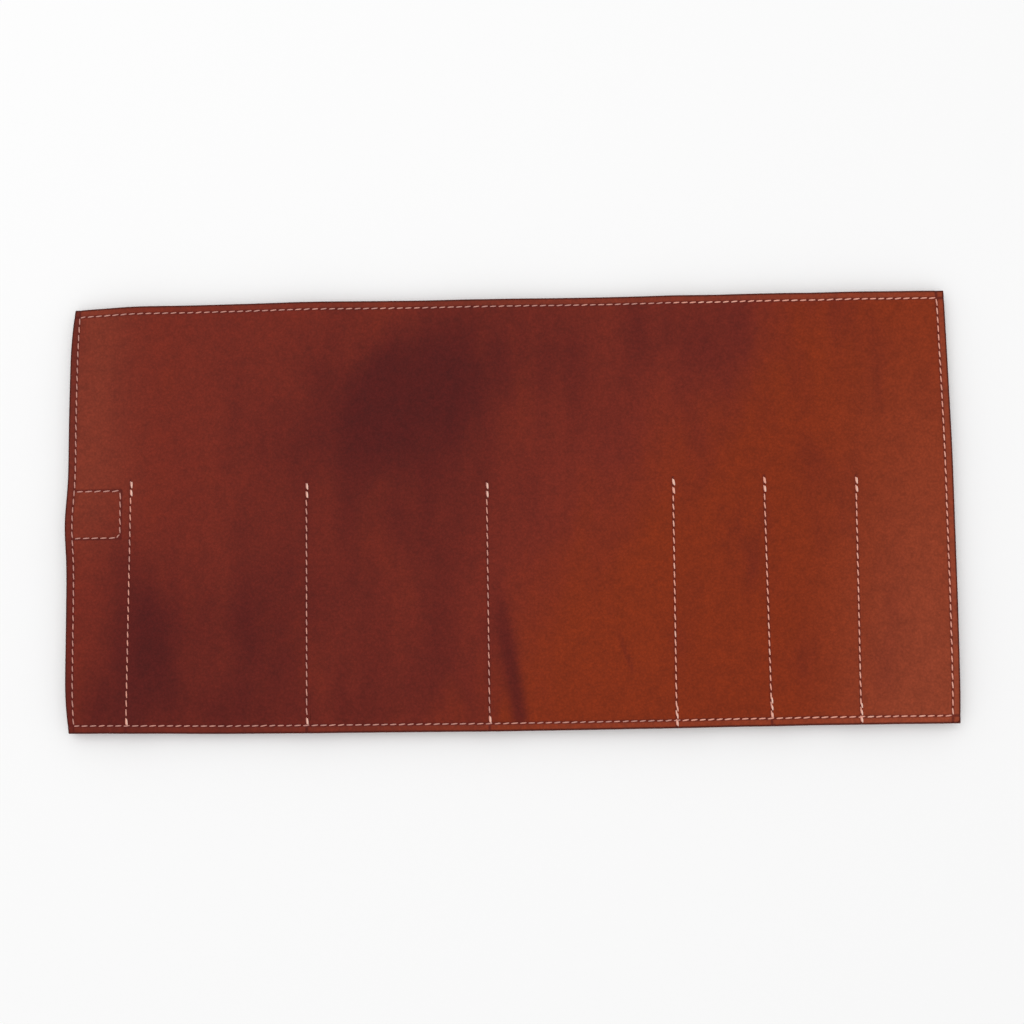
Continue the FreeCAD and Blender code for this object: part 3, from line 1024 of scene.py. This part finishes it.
def waxed_linen_thread():
    """Two-ply linen thread, twisted and drawn through wax."""
    # The wax dulls it and holds dirt, so it is pale where clean and browner where hands have been. Its
    # fibres are drawn some ten times as wide as real ones, to show.
    c = colours()
    material, tree, shader = new_material("waxed_linen_thread", Roughness=0.55, Specular_IOR_Level=0.3)
    place = add_node(tree, "ShaderNodeAttribute", attribute_name="rest_place").outputs["Vector"]
    tone = add_node(tree, "ShaderNodeAttribute", attribute_name="tone").outputs["Fac"]
    inputs = {"Vector": place, "Scale": 1 / (0.25 * MM), "Detail": 2.0, "Roughness": 0.5}
    fibre = add_node(tree, "ShaderNodeTexNoise", inputs).outputs["Fac"]
    thread = rgba(c.soiled)
    for coat, low, high in ((c.thread, 0.35, 0.75), (c.clean, 0.8, 1.0)):
        inputs = {"Value": tone, "From Min": low, "From Max": high}
        share = add_node(tree, "ShaderNodeMapRange", inputs, interpolation_type="SMOOTHSTEP")
        inputs = {0: share.outputs["Result"], 6: thread, 7: rgba(coat)}
        thread = add_node(tree, "ShaderNodeMix", inputs, data_type="RGBA").outputs[2]
    inputs = {"Value": fibre, "From Min": 0.3, "From Max": 0.7, "To Min": 0.9, "To Max": 1.05}
    shade = add_node(tree, "ShaderNodeMapRange", inputs, interpolation_type="SMOOTHSTEP")
    inputs = {0: 1.0, 6: thread, 7: shade.outputs["Result"]}
    thread = add_node(tree, "ShaderNodeMix", inputs, data_type="RGBA", blend_type="MULTIPLY").outputs[2]
    relief = add_node(tree, "ShaderNodeBump", {"Height": fibre, "Distance": 0.05 * MM})
    tree.links.new(thread, shader.inputs["Base Color"])
    tree.links.new(relief.outputs["Normal"], shader.inputs["Normal"])
    return material


def worked_metal(name, base, low_rough, high_rough, mark_along, mark_across):
    """A bare metal whose finish leaves marks of one size, seen as uneven blur and faint relief."""
    material, tree, shader = new_material(name, Base_Color=rgba(base), Metallic=1.0)
    place = add_node(tree, "ShaderNodeTexCoord").outputs["Object"]
    inputs = {0: place, 1: (1 / mark_across, 1 / mark_along, 1 / mark_across)}
    place = add_node(tree, "ShaderNodeVectorMath", inputs, operation="MULTIPLY").outputs[0]
    inputs = {"Vector": place, "Scale": 1.0, "Detail": 3.0}
    marks = add_node(tree, "ShaderNodeTexNoise", inputs).outputs["Fac"]
    inputs = {"Value": marks, "From Min": 0.3, "From Max": 0.7, "To Min": low_rough, "To Max": high_rough}
    blur = add_node(tree, "ShaderNodeMapRange", inputs).outputs["Result"]
    relief = add_node(tree, "ShaderNodeBump", {"Height": marks, "Distance": 0.01 * MM})
    tree.links.new(blur, shader.inputs["Roughness"])
    tree.links.new(relief.outputs["Normal"], shader.inputs["Normal"])
    return material


def barrel_plated_nickel():
    """Nickel, barrel plated over the magnet."""
    # Tumbling in the barrel leaves it bright and slightly warm, with a soft cloudy blur.
    return worked_metal("barrel_plated_nickel", colours().nickel, 0.22, 0.36, 1.5 * MM, 1.5 * MM)


def rolled_spring_steel():
    """Spring steel, cold rolled, for the keeper."""
    # Rolling leaves grey metal with fine lines along it, drawn ten times as wide as real ones, to show.
    return worked_metal("rolled_spring_steel", colours().steel, 0.34, 0.5, 30 * MM, 0.3 * MM)


def matt_painted_board():
    """Matt white paint, rolled on board, for the table."""
    # It has no gloss, so only the roll's own soft shadow shows on it.
    base = rgba(colours().floor)
    return new_material("matt_painted_board", Base_Color=base, Roughness=0.9, Specular_IOR_Level=0.0)[0]


def dress(piece, material):
    """Give a piece its one material."""
    piece.data.materials.clear()
    piece.data.materials.append(material)


# Studio


def guard_points(body):
    """Corners of all that a body carries; the table stays below them when the roll is folded."""
    nodes = [name for name, node in frame["nodes"].items() if node["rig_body"] == body]
    boxes = [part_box(name) for name in nodes]
    outside, over = 2.6 * MM, 0.7 * MM
    xs = (min(low.x for low, _ in boxes) - outside, max(high.x for _, high in boxes) + outside)
    ys = (min(low.y for low, _ in boxes) - outside, max(high.y for _, high in boxes) + outside)
    zs = (min(low.z for low, _ in boxes), max(high.z for _, high in boxes) + over)
    return [(x, y, z) for x in xs for y in ys for z in zs]


def add_table():
    """The table. It can't rise above any corner of the roll, so a folded roll still lies on it."""
    half = 4.0
    corners = [(-half, -half, 0), (half, -half, 0), (half, half, 0), (-half, half, 0)]
    mesh = bpy.data.meshes.new("table")
    mesh.from_pydata(corners, [], [(0, 1, 2, 3)])
    table = bpy.data.objects.new("table", mesh)
    bpy.context.scene.collection.objects.link(table)
    for body, carrier in frame["bodies"].items():
        for number, place in enumerate(guard_points(body)):
            guard = bpy.data.objects.new(f"guard_{body}_{number}", None)
            guard.empty_display_size = 2 * MM
            guard.parent = carrier
            guard.location = place
            bpy.context.scene.collection.objects.link(guard)
            limit = table.constraints.new("FLOOR")
            limit.target = guard
            limit.floor_location = "FLOOR_NEGATIVE_Z"
    return table


def add_camera():
    """A camera where the photograph was taken from."""
    data = bpy.data.cameras.new("camera")
    data.lens = 50
    data.sensor_width = 36
    data.dof.use_dof = False
    camera = bpy.data.objects.new("camera", data)
    camera.location = (31.68 * MM, -65.6 * MM, 765.35 * MM)
    camera.rotation_euler = [math.radians(turn) for turn in (4.899, 2.152, -0.693)]
    bpy.context.scene.collection.objects.link(camera)
    bpy.context.scene.camera = camera


def add_lights():
    """Even white light all round, and one large soft light from the upper left."""
    world = bpy.data.worlds.new("studio")
    world.use_nodes = True
    sky = world.node_tree.nodes["Background"]
    sky.inputs["Color"].default_value = (1, 1, 1, 1)
    sky.inputs["Strength"].default_value = 0.88
    bpy.context.scene.world = world
    data = bpy.data.lights.new("softbox", "AREA")
    data.shape = "SQUARE"
    data.size = 1.6
    data.energy = 5.0
    light = bpy.data.objects.new("softbox", data)
    light.location = (-0.45, 0.55, 1.6)
    light.rotation_euler = (-light.location).to_track_quat("-Z", "Y").to_euler()
    bpy.context.scene.collection.objects.link(light)


# Operators


class MakeOuterLeather(bpy.types.Operator):
    """Make the outer leather, one piece to a column"""

    bl_idname = "watch_roll.outer_leather"
    bl_label = "Outer leather"

    def execute(self, context):
        material = waxed_pull_up_leather()
        for name in COLUMNS:
            dress(make_outer(name), material)
        return {"FINISHED"}


class MakeLining(bpy.types.Operator):
    """Make the lining, one piece to a column"""

    bl_idname = "watch_roll.lining"
    bl_label = "Lining"

    def execute(self, context):
        material = split_suede()
        for name in COLUMNS:
            dress(make_lining(name), material)
        return {"FINISHED"}


class MakePockets(bpy.types.Operator):
    """Make the six pocket fronts"""

    bl_idname = "watch_roll.pockets"
    bl_label = "Pocket fronts"

    def execute(self, context):
        material = plated_pull_up_leather()
        for name in POCKETS:
            dress(make_pocket(name), material)
        return {"FINISHED"}


class MakeClosure(bpy.types.Operator):
    """Make the closure's facing and patch, and dress its magnet and keeper"""

    bl_idname = "watch_roll.closure"
    bl_label = "Closure"

    def execute(self, context):
        material = plated_pull_up_leather()
        dress(make_facing(), material)
        dress(make_patch(), material)
        dress(frame["nodes"]["closure_magnet"], barrel_plated_nickel())
        dress(frame["nodes"]["keeper_plate"], rolled_spring_steel())
        return {"FINISHED"}


class MakeStitching(bpy.types.Operator):
    """Sew every seam, on the outside and on the inside"""

    bl_idname = "watch_roll.stitching"
    bl_label = "Stitching"

    def execute(self, context):
        material = waxed_linen_thread()
        for name in COLUMNS:
            for piece in make_stitching(name):
                dress(piece, material)
        return {"FINISHED"}


class MakeStudio(bpy.types.Operator):
    """Make the table, the camera and the lights"""

    bl_idname = "watch_roll.studio"
    bl_label = "Studio"

    def execute(self, context):
        context.scene.view_settings.view_transform = "Standard"
        dress(add_table(), matt_painted_board())
        add_camera()
        add_lights()
        return {"FINISHED"}


class WatchRollPanel(bpy.types.Panel):
    """Sizes, colours and steps of the watch roll"""

    bl_idname = "VIEW3D_PT_watch_roll"
    bl_label = "Watch Roll"
    bl_space_type = "VIEW_3D"
    bl_region_type = "UI"
    bl_category = "Watch Roll"

    def draw(self, context):
        for group in (context.scene.watch_roll_sizes, context.scene.watch_roll_colours):
            box = self.layout.box()
            for name in group.__annotations__:
                box.prop(group, name)
        for step in STEPS:
            self.layout.operator(step.bl_idname)


STEPS = [MakeOuterLeather, MakeLining, MakePockets, MakeClosure, MakeStitching, MakeStudio]
CLASSES = [WatchRollSizes, WatchRollColours, *STEPS, WatchRollPanel]


def register():
    """Add the classes and the scene's settings."""
    for cls in CLASSES:
        bpy.utils.register_class(cls)
    bpy.types.Scene.watch_roll_sizes = PointerProperty(type=WatchRollSizes)
    bpy.types.Scene.watch_roll_colours = PointerProperty(type=WatchRollColours)


def unregister():
    """Take away the scene's settings and the classes."""
    del bpy.types.Scene.watch_roll_colours
    del bpy.types.Scene.watch_roll_sizes
    for cls in reversed(CLASSES):
        bpy.utils.unregister_class(cls)


def main():
    """Make the whole roll and its studio."""
    register()
    bpy.ops.watch_roll.outer_leather()
    bpy.ops.watch_roll.lining()
    bpy.ops.watch_roll.pockets()
    bpy.ops.watch_roll.closure()
    bpy.ops.watch_roll.stitching()
    bpy.ops.watch_roll.studio()


if __name__ == "__main__":
    main()
